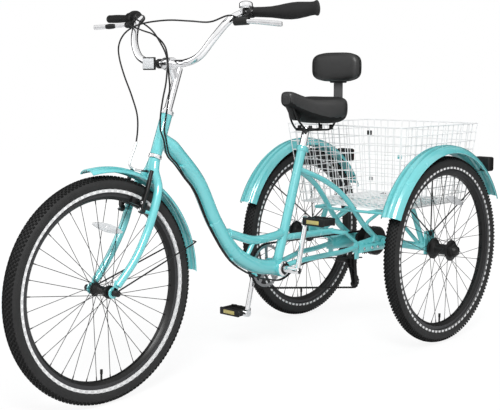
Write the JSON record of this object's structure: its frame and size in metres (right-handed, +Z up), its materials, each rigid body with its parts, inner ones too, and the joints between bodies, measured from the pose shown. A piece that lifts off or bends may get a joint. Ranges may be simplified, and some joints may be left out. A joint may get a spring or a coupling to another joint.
{
  "type": "adult tricycle",
  "caption": "Adult tricycle with a low step-through frame, a steered front wheel, a chain-driven rear axle, a cushioned saddle with backrest and a wire cargo basket.",
  "frame": {"origin": "on the floor, under the middle of the length and width", "axes": "+Z up, -Y towards the front wheel, +X the rider's left"},
  "size_m": [0.9108, 1.943, 1.167],
  "materials": {
    "teal_paint": "gloss",
    "black_paint": "semi-gloss",
    "tyre_rubber": "matte",
    "grip_rubber": "matte",
    "black_plastic": "satin",
    "black_vinyl": "satin",
    "chrome": "polished",
    "grey_steel": "satin",
    "white_wire": "gloss",
    "clear_lens": "gloss"
  },
  "bodies": {
    "frame": {"main_frame": "teal_paint", "rear_carrier": "teal_paint", "headset_upper": "chrome", "headset_lower": "chrome", "derailleur_body": "black_paint", "derailleur_cage": "black_paint", "chain": "black_paint", "bb_cup_left": "chrome", "bb_cup_right": "chrome", "left_fender": "teal_paint", "right_fender": "teal_paint", "left_fender_stays": "black_paint", "right_fender_stays": "black_paint", "basket_floor": "white_wire", "basket_front": "white_wire", "basket_rear": "white_wire", "basket_left": "white_wire", "basket_right": "white_wire", "rear_brake_cable": "black_plastic", "shift_cable": "black_plastic"},
    "seat": {"seatpost": "chrome", "saddle_frame": "black_paint", "saddle": "black_vinyl", "backrest": "black_vinyl", "backrest_bracket": "black_paint"},
    "steering": {"fork": "teal_paint", "stem": "chrome", "handlebar": "chrome", "grip_left": "grip_rubber", "grip_right": "grip_rubber", "lever_body_left": "black_plastic", "lever_body_right": "black_plastic", "bell": "chrome", "front_reflector": "clear_lens", "front_axle": "black_paint", "front_fender": "teal_paint", "front_fender_stays": "black_paint", "front_brake_cable": "black_plastic"},
    "shifter": {"twist_shifter": "black_plastic"},
    "left_lever": {"brake_lever_left": "chrome"},
    "right_lever": {"brake_lever_right": "chrome"},
    "striker": {"bell_striker": "black_plastic"},
    "left_arm": {"brake_arm_left": "black_paint"},
    "right_arm": {"brake_arm_right": "black_paint"},
    "front_roller": {"front_tyre": "tyre_rubber", "front_wheel": "black_paint"},
    "left_roller": {"left_tyre": "tyre_rubber", "left_wheel": "black_paint"},
    "drive": {"rear_axle": "black_paint", "brake_drum": "black_paint", "right_wheel": "black_paint", "right_tyre": "tyre_rubber"},
    "cogs": {"freewheel": "black_paint"},
    "cranks": {"crank": "chrome", "chainring": "grey_steel"},
    "left_pedal": {"pedal_left": "black_plastic"},
    "right_pedal": {"pedal_right": "black_plastic"},
    "upper_pulley": {"upper_jockey": "black_plastic"},
    "lower_pulley": {"lower_jockey": "black_plastic"}
  },
  "joints": [
    {"name": "steer", "type": "hinge", "parent": "frame", "child": "steering", "pos_m": [0, -0.432, 0.7], "axis": [0, 0.3585, 0.9335], "range_deg": [-45, 45], "deforming": ["rear_brake_cable", "shift_cable"]},
    {"name": "front_wheel_spin", "type": "hinge", "parent": "steering", "child": "front_roller", "pos_m": [0, -0.6395, 0.33199], "axis": [1, 0, 0], "continuous": true},
    {"name": "left_wheel_spin", "type": "hinge", "parent": "frame", "child": "left_roller", "pos_m": [0.3225, 0.6395, 0.33199], "axis": [1, 0, 0], "continuous": true},
    {"name": "drive_spin", "type": "hinge", "parent": "frame", "child": "drive", "pos_m": [0, 0.6395, 0.33199], "axis": [1, 0, 0], "continuous": true},
    {"name": "crank_spin", "type": "hinge", "parent": "frame", "child": "cranks", "pos_m": [0, 0.114, 0.298], "axis": [1, 0, 0], "continuous": true},
    {"name": "freewheel_spin", "type": "hinge", "parent": "frame", "child": "cogs", "pos_m": [0, 0.6395, 0.33199], "axis": [1, 0, 0], "continuous": true},
    {"name": "left_pedal_spin", "type": "hinge", "parent": "cranks", "child": "left_pedal", "pos_m": [0, 0.15852, 0.46414], "axis": [1, 0, 0], "continuous": true},
    {"name": "right_pedal_spin", "type": "hinge", "parent": "cranks", "child": "right_pedal", "pos_m": [0, 0.06948, 0.13186], "axis": [1, 0, 0], "continuous": true},
    {"name": "upper_jockey_spin", "type": "hinge", "parent": "frame", "child": "upper_pulley", "pos_m": [-0.043, 0.604, 0.246], "axis": [1, 0, 0], "continuous": true},
    {"name": "lower_jockey_spin", "type": "hinge", "parent": "frame", "child": "lower_pulley", "pos_m": [-0.043, 0.612, 0.17], "axis": [1, 0, 0], "continuous": true},
    {"name": "left_lever_pull", "type": "hinge", "parent": "steering", "child": "left_lever", "pos_m": [0.24681, -0.31406, 1.10357], "axis": [0.1004, -0.4985, 0.8611], "range_deg": [0, 15], "stiffness_Nm_per_rad": 1.5, "deforming": ["front_brake_cable"]},
    {"name": "right_lever_pull", "type": "hinge", "parent": "steering", "child": "right_lever", "pos_m": [-0.24681, -0.31406, 1.10357], "axis": [0.1004, 0.4985, -0.8611], "range_deg": [0, 15], "stiffness_Nm_per_rad": 1.5},
    {"name": "left_arm_close", "type": "hinge", "parent": "steering", "child": "left_arm", "pos_m": [0.046, -0.54052, 0.56385], "axis": [0, -0.9335, 0.3585], "range_deg": [0, 3.5]},
    {"name": "right_arm_close", "type": "hinge", "parent": "steering", "child": "right_arm", "pos_m": [-0.046, -0.54052, 0.56385], "axis": [0, 0.9335, -0.3585], "range_deg": [0, 3.5]},
    {"name": "shift_twist", "type": "hinge", "parent": "steering", "child": "shifter", "pos_m": [-0.25649, -0.27356, 1.1259], "axis": [-0.9676, 0.2506, 0.0323], "range_deg": [0, 100]},
    {"name": "bell_flick", "type": "hinge", "parent": "steering", "child": "striker", "pos_m": [0.23036, -0.26072, 1.13102], "axis": [0, 0, 1], "range_deg": [0, 20], "stiffness_Nm_per_rad": 0.02},
    {"name": "seat_height", "type": "slide", "parent": "frame", "child": "seat", "axis": [0, 0.3183, 0.948], "range_m": [-0.03, 0.08]}
  ],
  "couplings": [
    {"joint": "freewheel_spin", "follows": "crank_spin", "ratio": 2.7143},
    {"joint": "lower_jockey_spin", "follows": "crank_spin", "ratio": 3.4545},
    {"joint": "upper_jockey_spin", "follows": "crank_spin", "ratio": -3.4545},
    {"joint": "left_arm_close", "follows": "left_lever_pull", "ratio": 0.23333},
    {"joint": "right_arm_close", "follows": "left_lever_pull", "ratio": 0.23333}
  ]
}
